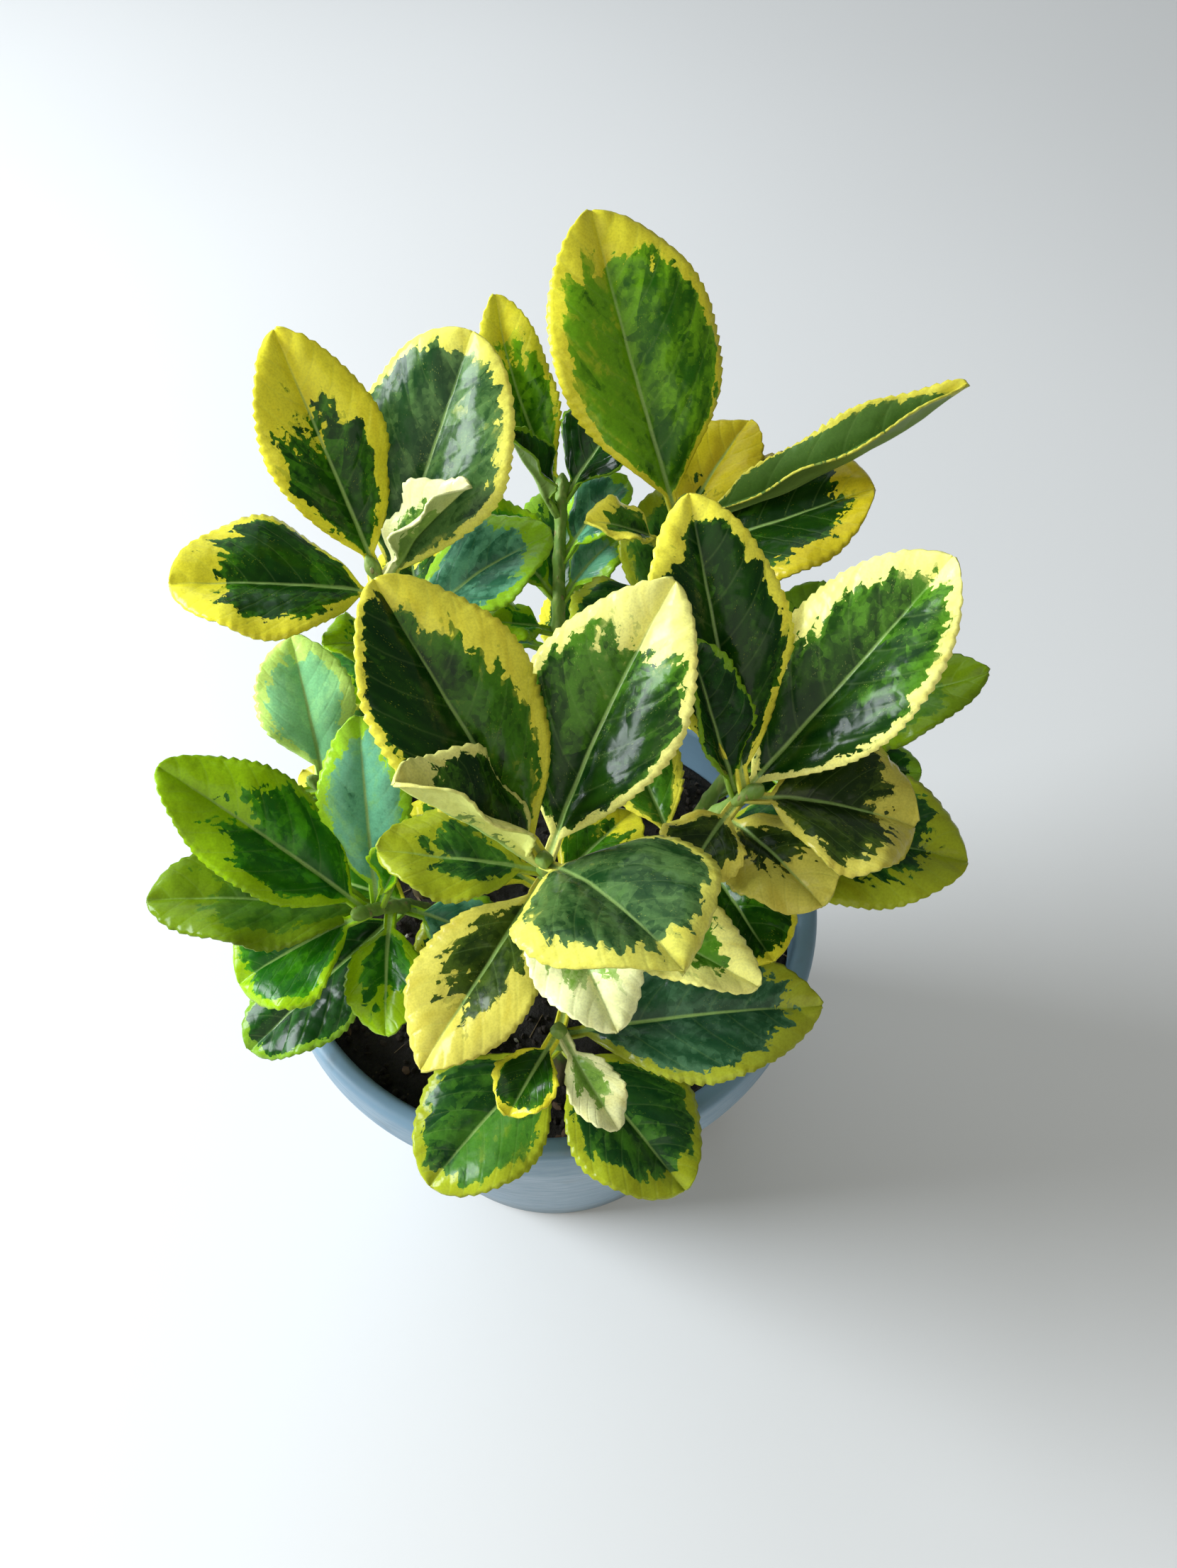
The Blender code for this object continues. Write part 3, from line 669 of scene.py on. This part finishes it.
def leafSkin():
    look = leafPattern
    material, tree, shader = newMaterial("leafSkin", 0.34, paint(60, 110, 40))
    vein = placeOn(tree, "vein")
    here = placeOn(tree)
    green, patch = reading(tree, "green"), reading(tree, "patch")
    rib, along, under = reading(tree, "rib"), reading(tree, "along"), reading(tree, "under")
    dark, mid = reading(tree, "dark", "Color"), reading(tree, "mid", "Color")
    margin = reading(tree, "margin", "Color")

    # the torn edge of the green: wide lobes, rounded bites, small blocks, then crumbs
    uneven = wobble(tree, vein, 7, 0.05)
    drawn = stretch(tree, uneven, (1, look["across"], 1))
    lobes = swing(tree, mottle(tree, drawn, look["lobeSize"], 0), look["lobeReach"])
    bites = swing(tree, mottle(tree, drawn, look["biteSize"], 0), look["biteReach"])
    blocks = swing(tree, cells(tree, here, look["blockSize"], "Color"), look["blockReach"])
    crumbs = swing(tree, cells(tree, here, look["crumbSize"], "Color"), look["crumbReach"])
    edge = sums(tree, "ADD", sums(tree, "ADD", green, lobes), sums(tree, "ADD", blocks, crumbs))
    edge = sums(tree, "ADD", edge, bites)
    isGreen = step(tree, edge, -0.04, 0.06)

    # sectors of mid green over the dark, each with its own tone, more of them beside the yellow
    sectors = sums(tree, "MULTIPLY", cells(tree, uneven, look["sectorSize"], "Color"), look["sectorReach"])
    sectors = sums(tree, "ADD", sectors, mottle(tree, drawn, 2.2, 2))
    grain = swing(tree, cells(tree, here, look["grainSize"], "Color"), look["grainReach"])
    tone = sums(tree, "MULTIPLY", patch, look["patchReach"])
    tone = sums(tree, "ADD", sums(tree, "ADD", sectors, grain), tone)
    tone = sums(tree, "ADD", tone, step(tree, edge, 0.1, 1.4, 0.2, 0.0))
    isMid = step(tree, tone, look["midFrom"], look["midTo"])
    isMid = blendNumber(tree, reading(tree, "quiet"), isMid, look["quietMid"])
    isLight = step(tree, tone, look["lightFrom"], look["lightTo"], 0, look["lightShare"])
    flecks = step(tree, cells(tree, uneven, look["fleckSize"]), 0.12, 0.26, look["fleckShare"], 0)
    flecks = sums(tree, "MULTIPLY", flecks, step(tree, mottle(tree, vein, 3.1, 2), 0.48, 0.66))
    fade = step(tree, mottle(tree, vein, 2.2, 2), 0.3, 0.75, 0.0, 0.22)
    centre = blendColour(tree, isMid, blendColour(tree, fade, dark, mid), mid)
    centre = blendColour(tree, isLight, centre, margin)
    centre = blendColour(tree, flecks, centre, blendColour(tree, 0.35, mid, margin))

    # the yellow: deeper where it ages, greener where crumbs of green lie under it
    aged = step(tree, mottle(tree, vein, 2.0, 3), 0.42, 0.75, 0, look["agedShare"])
    yellow = blendColour(tree, aged, margin, paint(*look["aged"]), "MULTIPLY")
    beside = swing(tree, cells(tree, drawn, look["tingeSize"], "Color"), look["tingeReach"])
    tinged = step(tree, sums(tree, "ADD", edge, beside), 0.1, 0.16, 0, look["tingeShare"])
    yellow = blendColour(tree, tinged, yellow, blendColour(tree, 0.5, margin, mid))
    skin = blendColour(tree, isGreen, yellow, centre)

    # pale midrib, finer towards the tip, and faint side veins
    ribHalf = sums(tree, "SUBTRACT", look["ribHalf"], sums(tree, "MULTIPLY", along, look["ribTaper"]))
    onRib = step(tree, sums(tree, "SUBTRACT", rib, ribHalf), *look["ribSoft"], 1, 0)
    onRib = sums(tree, "MULTIPLY", onRib, step(tree, along, 0.6, 0.98, *look["ribShare"]))
    skin = blendColour(tree, onRib, skin, paint(*look["ribColour"]))
    sideVein = sums(tree, "PINGPONG", reading(tree, "rank"), 0.5)
    onVein = step(tree, sideVein, 0, look["veinHalf"], look["veinShare"], 0)
    skin = blendColour(tree, onVein, skin, paint(*look["ribColour"]))
    pores = step(tree, mottle(tree, here, 2600, 2), 0.35, 0.7, 0, look["poreShare"])
    skin = blendColour(tree, pores, skin, paint(*look["pore"]))

    # the underside is paler and dull
    below = blendColour(tree, look["belowShare"], skin, paint(*look["belowTint"]))
    skin = blendColour(tree, under, skin, below)
    tree.links.new(skin, shader.inputs["Base Color"])

    shine = step(tree, mottle(tree, here, 260, 2), 0.3, 0.75, *look["gloss"])
    dull = sums(tree, "MULTIPLY", sums(tree, "MAXIMUM", under, reading(tree, "quiet")), look["dull"])
    tree.links.new(sums(tree, "ADD", shine, dull), shader.inputs["Roughness"])
    shader.inputs["Specular IOR Level"].default_value = look["specular"]

    # leathery crinkle: puckers between the veins, a finer net, sunken side veins
    pucker = sums(tree, "MULTIPLY", mottle(tree, here, look["puckerSize"], 1), 1.6)
    net = sums(tree, "MULTIPLY", cells(tree, here, look["netSize"]), -0.9)
    net = sums(tree, "ADD", net, sums(tree, "MULTIPLY", mottle(tree, here, 700, 1), 0.3))
    sunk = step(tree, sideVein, 0, 0.16, -look["veinSunk"], 0)
    height = sums(tree, "ADD", sums(tree, "ADD", pucker, net), sunk)
    relief(tree, shader, height, look["reliefDepth"], look["reliefStrength"])
    return material


stemLook = {
    "young": ((76, 118, 34), (134, 164, 66)), "streak": (158, 172, 92),
    "bark": ((58, 50, 32), (126, 114, 78)), "cork": (150, 132, 88),
    "barkTop": (0.084, 0.108),             # heights in metres between which bark turns green
    "roughness": 0.55,
}


def stemSkin():
    look = stemLook
    material, tree, shader = newMaterial("stemSkin", look["roughness"], paint(88, 118, 44))
    here = placeOn(tree)
    patches = mottle(tree, here, 160, 3)
    streaks = mottle(tree, stretch(tree, here, (1, 1, 0.2)), 900, 2)
    green = blendColour(tree, patches, *[paint(*tint) for tint in look["young"]])
    green = blendColour(tree, step(tree, streaks, 0.45, 0.7, 0, 0.5), green, paint(*look["streak"]))
    bark = blendColour(tree, streaks, *[paint(*tint) for tint in look["bark"]])
    level = sums(tree, "ADD", heightOf(tree, here), sums(tree, "MULTIPLY", streaks, -0.03))
    aged = step(tree, level, *look["barkTop"], 1, 0)
    skin = blendColour(tree, aged, green, bark)
    corky = step(tree, cells(tree, stretch(tree, here, (1, 1, 0.5)), 480), 0.12, 0.24, 0.7, 0)
    skin = blendColour(tree, corky, skin, paint(*look["cork"]))
    tree.links.new(skin, shader.inputs["Base Color"])
    relief(tree, shader, sums(tree, "ADD", streaks, corky), 0.0003, 0.8)
    return material


def makeLeafyStems():
    skin, wood = leafSkin(), stemSkin()
    for order, (name, shoot) in enumerate(stems.items()):
        bm = bmesh.new()
        for i, kind in enumerate(shoot["leaves"]):
            addBlade(bm, shoot, kind, order * 20 + i)
        addWood(bm, shoot)
        mesh = bpy.data.meshes.new(name + "_grown")
        bm.to_mesh(mesh)
        bm.free()
        mesh.materials.append(skin)
        mesh.materials.append(wood)
        finishedPiece(name + "_grown", mesh, name)
        print("grown:", name, len(shoot["leaves"]), "leaves,", len(mesh.polygons), "faces")


makeLeafyStems()


# lengths in mm
potShape = {
    "height": 105, "rimRadius": 61, "collar": 13, "step": 2.7, "rimWidth": 4.6, "rimRound": 1.9,
    "edgeRound": 0.8, "baseRadius": 43, "wall": 2.0, "floor": 2.5, "turns": 144,
    "drainRadius": 4.5, "drainRing": 29, "drains": 6,
    "footRing": 4.0, "footHollow": 0.6,     # the base stands on a ring this wide
    "sharpAngle": 40,                       # edges sharper than this many degrees are shaded sharp
    "low": (94, 123, 141), "high": (118, 147, 165), "grime": (92, 95, 89),
    "gloss": (0.34, 0.5), "splash": 0.018,  # the height in metres up to which the foot is dirty
}


def wallRadius(height):
    pot = potShape
    top = pot["height"] - pot["collar"]
    return pot["baseRadius"] + (pot["rimRadius"] - pot["step"] - pot["baseRadius"]) * height / top


def arc(centre, radius, start, end, segments):
    angles = [math.radians(start + (end - start) * i / segments) for i in range(segments + 1)]
    return [(centre[0] + radius * math.cos(a), centre[1] + radius * math.sin(a)) for a in angles]


def turnedMesh(name, profile, turns):
    # a profile of radius and height, spun round the pot's axis
    bm = bmesh.new()
    corners = [bm.verts.new((radius * mm, 0, height * mm)) for radius, height in profile]
    edges = [bm.edges.new(pair) for pair in zip(corners, corners[1:])]
    bmesh.ops.spin(bm, geom=corners + edges, cent=(0, 0, 0), axis=(0, 0, 1), angle=2 * math.pi,
                   steps=turns, use_merge=True)
    bmesh.ops.remove_doubles(bm, verts=bm.verts, dist=1e-6)
    bmesh.ops.recalc_face_normals(bm, faces=bm.faces[:])
    for face in bm.faces:
        face.smooth = True
    mesh = bpy.data.meshes.new(name)
    bm.to_mesh(mesh)
    bm.free()
    return mesh


def potPlastic():
    look = potShape
    material, tree, shader = newMaterial("potPlastic", 0.42, paint(*look["high"]))
    here = placeOn(tree)
    body = blendColour(tree, mottle(tree, here, 26, 3), paint(*look["low"]), paint(*look["high"]))
    dust = step(tree, mottle(tree, here, 90, 4, 0.65), 0.56, 0.78, 0, 0.35)
    body = blendColour(tree, dust, body, paint(*look["grime"]))
    level = sums(tree, "ADD", heightOf(tree, here), sums(tree, "MULTIPLY", dust, 0.01))
    body = blendColour(tree, step(tree, level, 0, look["splash"], 0.4, 0), body, paint(*look["grime"]))
    tree.links.new(body, shader.inputs["Base Color"])
    scuffs = mottle(tree, stretch(tree, here, (1, 1, 6)), 150, 3)
    tree.links.new(step(tree, scuffs, 0.3, 0.7, *look["gloss"]), shader.inputs["Roughness"])
    relief(tree, shader, mottle(tree, here, 1500, 2), 0.00006, 0.5)
    return material


def drilledMesh(piece):
    # the drain holes, drilled through the base
    pot = potShape
    drills = bpy.data.collections.new("drills")
    bpy.context.scene.collection.children.link(drills)
    for i in range(pot["drains"]):
        angle = 2 * math.pi * i / pot["drains"]
        bm = bmesh.new()
        bmesh.ops.create_cone(bm, cap_ends=True, segments=32, radius1=pot["drainRadius"] * mm,
                              radius2=pot["drainRadius"] * mm, depth=4 * pot["floor"] * mm)
        place = (pot["drainRing"] * mm * math.cos(angle), pot["drainRing"] * mm * math.sin(angle), mm)
        bmesh.ops.translate(bm, vec=place, verts=bm.verts)
        drill = bpy.data.objects.new(f"drill_{i}", bpy.data.meshes.new(f"drill_{i}"))
        bm.to_mesh(drill.data)
        bm.free()
        drills.objects.link(drill)
    cut = piece.modifiers.new("drains", "BOOLEAN")
    cut.operand_type = "COLLECTION"
    cut.collection = drills
    graph = bpy.context.evaluated_depsgraph_get()
    drilled = bpy.data.meshes.new_from_object(piece.evaluated_get(graph))
    piece.modifiers.clear()
    bm = bmesh.new()
    bm.from_mesh(drilled)
    bmesh.ops.remove_doubles(bm, verts=bm.verts, dist=1e-6)   # the cut leaves points on top of each other
    bm.to_mesh(drilled)
    bm.free()
    for drill in list(drills.objects):
        bpy.data.objects.remove(drill)
    bpy.data.collections.remove(drills)
    return drilled


def makePot():
    pot = potShape
    collarFoot = pot["height"] - pot["collar"]
    inner = pot["rimRadius"] - pot["rimWidth"]
    bend, edge = pot["rimRound"], pot["edgeRound"]
    profile = [
        (0, pot["floor"]),
        (wallRadius(pot["floor"]) - pot["wall"] - 1, pot["floor"]),
        (wallRadius(pot["floor"] + 1) - pot["wall"], pot["floor"] + 1),
        (wallRadius(collarFoot) - pot["wall"], collarFoot),
        *arc((inner + bend, pot["height"] - bend), bend, 180, 90, 6),
        *arc((pot["rimRadius"] - bend, pot["height"] - bend), bend, 90, 0, 6),
        *arc((pot["rimRadius"] - edge, collarFoot + edge), edge, 0, -90, 4),
        (wallRadius(collarFoot) + 0.4, collarFoot),
        (wallRadius(collarFoot), collarFoot - 0.5),
        (wallRadius(edge + 0.6), edge + 0.6),
        *arc((wallRadius(0) - edge, edge), edge, 0, -90, 4),
        (pot["baseRadius"] - pot["footRing"], 0),
        (pot["baseRadius"] - pot["footRing"] - pot["footHollow"], pot["footHollow"]),
        (0, pot["footHollow"]),
    ]
    piece = finishedPiece("pot_turned", turnedMesh("pot_turned", profile, pot["turns"]), "pot")
    piece.data = drilledMesh(piece)
    piece.data.set_sharp_from_angle(angle=math.radians(pot["sharpAngle"]))
    piece.data.materials.clear()
    piece.data.materials.append(potPlastic())
    print("turned: pot,", len(piece.data.polygons), "faces")


makePot()


# lengths in mm
soilShape = {
    "top": 91, "mound": 3, "gap": 0.3, "rings": 64, "turns": 150, "base": 0.8,
    "lumps": ((9, 1.4), (4.5, 1.3), (2.2, 0.9), (1.1, 0.45)),   # size and height of each octave
    "peat": ((14, 12, 9), (46, 40, 29)), "damp": (16, 15, 10), "speck": (88, 74, 52),
    "litterInset": 2, "litterLift": 0.25, "litterTilt": 0.5,    # the tilt is in radians either way
}

# what lies on the soil: how many, the range of its three half sizes, its colours and roughness
litter = {
    "peatCrumb": {"count": 900, "size": ((0.35, 1.1),) * 3, "low": (20, 17, 12), "high": (54, 45, 33),
                  "rough": 0.95},
    "barkChip": {"count": 60, "size": ((1, 2.4), (0.5, 1.2), (0.3, 0.4)), "low": (58, 42, 27),
                 "high": (104, 79, 52), "rough": 0.85},
    "whiteGrit": {"count": 30, "size": ((0.4, 0.9),) * 3, "low": (150, 144, 128), "high": (196, 192, 180),
                  "rough": 0.8},
    "rootThread": {"count": 40, "size": ((2.5, 6), (0.12, 0.16), (0.12, 0.16)), "low": (100, 83, 56),
                   "high": (150, 130, 96), "rough": 0.8},
}


def soilSurface(x, y):
    soil = soilShape
    edge = wallRadius(soil["top"]) - potShape["wall"] - soil["gap"]
    reach = math.hypot(x, y)
    height = soil["top"] + soil["mound"] * (1 - (reach / edge) ** 2)
    calm = min(1, max(0, (edge - reach) / 1.5))
    for size, lump in soil["lumps"]:
        height += lump * calm * noise.noise(Vector((x / size, y / size, size)))
    return height


def pottingSoil():
    look = soilShape
    material, tree, shader = newMaterial("pottingSoil", 0.93, paint(30, 27, 20))
    here = placeOn(tree)
    body = blendColour(tree, mottle(tree, here, 700, 4, 0.7), *[paint(*tint) for tint in look["peat"]])
    damp = step(tree, mottle(tree, here, 60, 2), 0.4, 0.7, 0, 0.5)
    body = blendColour(tree, damp, body, paint(*look["damp"]))
    specks = step(tree, cells(tree, here, 420), 0.06, 0.14, 0.6, 0)
    body = blendColour(tree, specks, body, paint(*look["speck"]))
    tree.links.new(body, shader.inputs["Base Color"])
    relief(tree, shader, mottle(tree, here, 900, 4, 0.7), 0.0012, 0.9)
    return material


def litterMaterial(name, kind):
    low, high = paint(*kind["low"]), paint(*kind["high"])
    material, tree, shader = newMaterial(name, kind["rough"], low)
    here = placeOn(tree)
    tree.links.new(blendColour(tree, mottle(tree, here, 520, 3), low, high), shader.inputs["Base Color"])
    relief(tree, shader, mottle(tree, here, 1600, 2), 0.0002, 0.7)
    return material


def makeSoil():
    soil = soilShape
    edge = wallRadius(soil["top"]) - potShape["wall"] - soil["gap"]
    foot = potShape["floor"] + soil["gap"] + soil["base"]
    profile = [(edge * i / soil["rings"], soil["top"]) for i in range(soil["rings"] + 1)]
    profile += [(wallRadius(foot) - potShape["wall"] - soil["base"], foot), (0, foot)]
    mesh = turnedMesh("soil_lumpy", profile, soil["turns"])
    for vertex in mesh.vertices:
        if vertex.co.z > (soil["top"] - 1) * mm:
            vertex.co.z = soilSurface(vertex.co.x / mm, vertex.co.y / mm) * mm
    mesh.materials.append(pottingSoil())
    finishedPiece("soil_lumpy", mesh, "soil")
    print("filled: soil,", len(mesh.polygons), "faces")


def litterBit(name, size):
    # a lump with uneven corners, or a thin tapering thread
    bm = bmesh.new()
    if name == "rootThread":
        bmesh.ops.create_cone(bm, cap_ends=True, segments=5, radius1=1, radius2=0.6, depth=2)
        bmesh.ops.rotate(bm, verts=bm.verts, cent=(0, 0, 0), matrix=Matrix.Rotation(math.pi / 2, 3, "Y"))
    else:
        bmesh.ops.create_icosphere(bm, subdivisions=1, radius=1)
        for vertex in bm.verts:
            vertex.co *= dice.uniform(0.8, 1.15)
    bmesh.ops.scale(bm, vec=size, verts=bm.verts)
    return bm


def makeLitter():
    pile = bmesh.new()
    edge = wallRadius(soilShape["top"]) - potShape["wall"] - soilShape["litterInset"]
    mesh = bpy.data.meshes.new("soil_crumbs")
    for slot, (name, kind) in enumerate(litter.items()):
        mesh.materials.append(litterMaterial(name, kind))
        for _ in range(kind["count"]):
            bm = litterBit(name, [dice.uniform(*span) for span in kind["size"]])
            turn = Matrix.Rotation(dice.uniform(0, 2 * math.pi), 3, "Z")
            tilt = Matrix.Rotation(dice.uniform(-soilShape["litterTilt"], soilShape["litterTilt"]), 3, "X")
            bmesh.ops.rotate(bm, verts=bm.verts, cent=(0, 0, 0), matrix=turn @ tilt)
            reach, angle = edge * math.sqrt(dice.random()), dice.uniform(0, 2 * math.pi)
            x, y = reach * math.cos(angle), reach * math.sin(angle)
            bmesh.ops.translate(bm, vec=(x, y, soilSurface(x, y) + soilShape["litterLift"]), verts=bm.verts)
            bmesh.ops.scale(bm, vec=(mm, mm, mm), verts=bm.verts)
            for face in bm.faces:
                face.material_index = slot
            joinInto(pile, bm)
    pile.to_mesh(mesh)
    pile.free()
    finishedPiece("soil_crumbs", mesh)
    print("scattered: crumbs, chips, grit and threads,", len(mesh.polygons), "faces")


makeSoil()
makeLitter()


stage = {
    "floorSize": 8.0, "floorLow": (206, 206, 204), "floorHigh": (216, 216, 214), "floorRoughness": 0.7,
    "camera": (0.0095, -0.1372, 0.3447), "pitch": 34.7, "lens": 28.0,
    "worldTone": (236, 240, 240), "worldPower": 0.26,
    "lightAim": (0, 0, 0.15),
}

# each soft light: where it stands, its size in metres, its power and its colour
lights = {
    "window": {"at": (-1.0, 0.05, 0.62), "size": 0.6, "power": 25, "tone": (240, 247, 255)},
    "skylight": {"at": (-0.6, 0.9, 1.1), "size": 1.5, "power": 8, "tone": (238, 246, 255)},
    "room": {"at": (-0.15, -1.3, 1.05), "size": 1.6, "power": 10, "tone": (255, 250, 236)},
}


def makeFloor():
    bm = bmesh.new()
    bmesh.ops.create_grid(bm, x_segments=1, y_segments=1, size=stage["floorSize"] / 2)
    mesh = bpy.data.meshes.new("floor")
    bm.to_mesh(mesh)
    bm.free()
    material, tree, shader = newMaterial("paleFloor", stage["floorRoughness"], paint(*stage["floorLow"]))
    tone = mottle(tree, placeOn(tree), 3, 1)
    tree.links.new(blendColour(tree, tone, paint(*stage["floorLow"]), paint(*stage["floorHigh"])),
                   shader.inputs["Base Color"])
    mesh.materials.append(material)
    floor = bpy.data.objects.new("floor", mesh)
    bpy.context.scene.collection.objects.link(floor)


def makeLights():
    world = bpy.data.worlds.new("softDay")
    world.use_nodes = True
    sky = world.node_tree.nodes["Background"]
    sky.inputs[0].default_value = paint(*stage["worldTone"])
    sky.inputs[1].default_value = stage["worldPower"]
    bpy.context.scene.world = world
    for name, light in lights.items():
        data = bpy.data.lights.new(name, "AREA")
        data.shape = "SQUARE"
        data.size = light["size"]
        data.energy = light["power"]
        data.color = paint(*light["tone"])[:3]
        lamp = bpy.data.objects.new(name, data)
        lamp.location = light["at"]
        aim = Vector(stage["lightAim"]) - Vector(light["at"])
        lamp.rotation_euler = aim.to_track_quat("-Z", "Y").to_euler()
        bpy.context.scene.collection.objects.link(lamp)


def makeCamera():
    camera = bpy.data.cameras.new("viewpoint")
    camera.sensor_width = 36
    camera.lens = stage["lens"]
    camera.clip_start = 0.01
    eye = bpy.data.objects.new("viewpoint", camera)
    eye.location = stage["camera"]
    eye.rotation_euler = (math.radians(stage["pitch"]), 0, 0)
    bpy.context.scene.collection.objects.link(eye)
    bpy.context.scene.camera = eye
    bpy.context.scene.view_settings.view_transform = "Standard"


makeFloor()
makeLights()
makeCamera()
print("staged: floor, lights and camera")
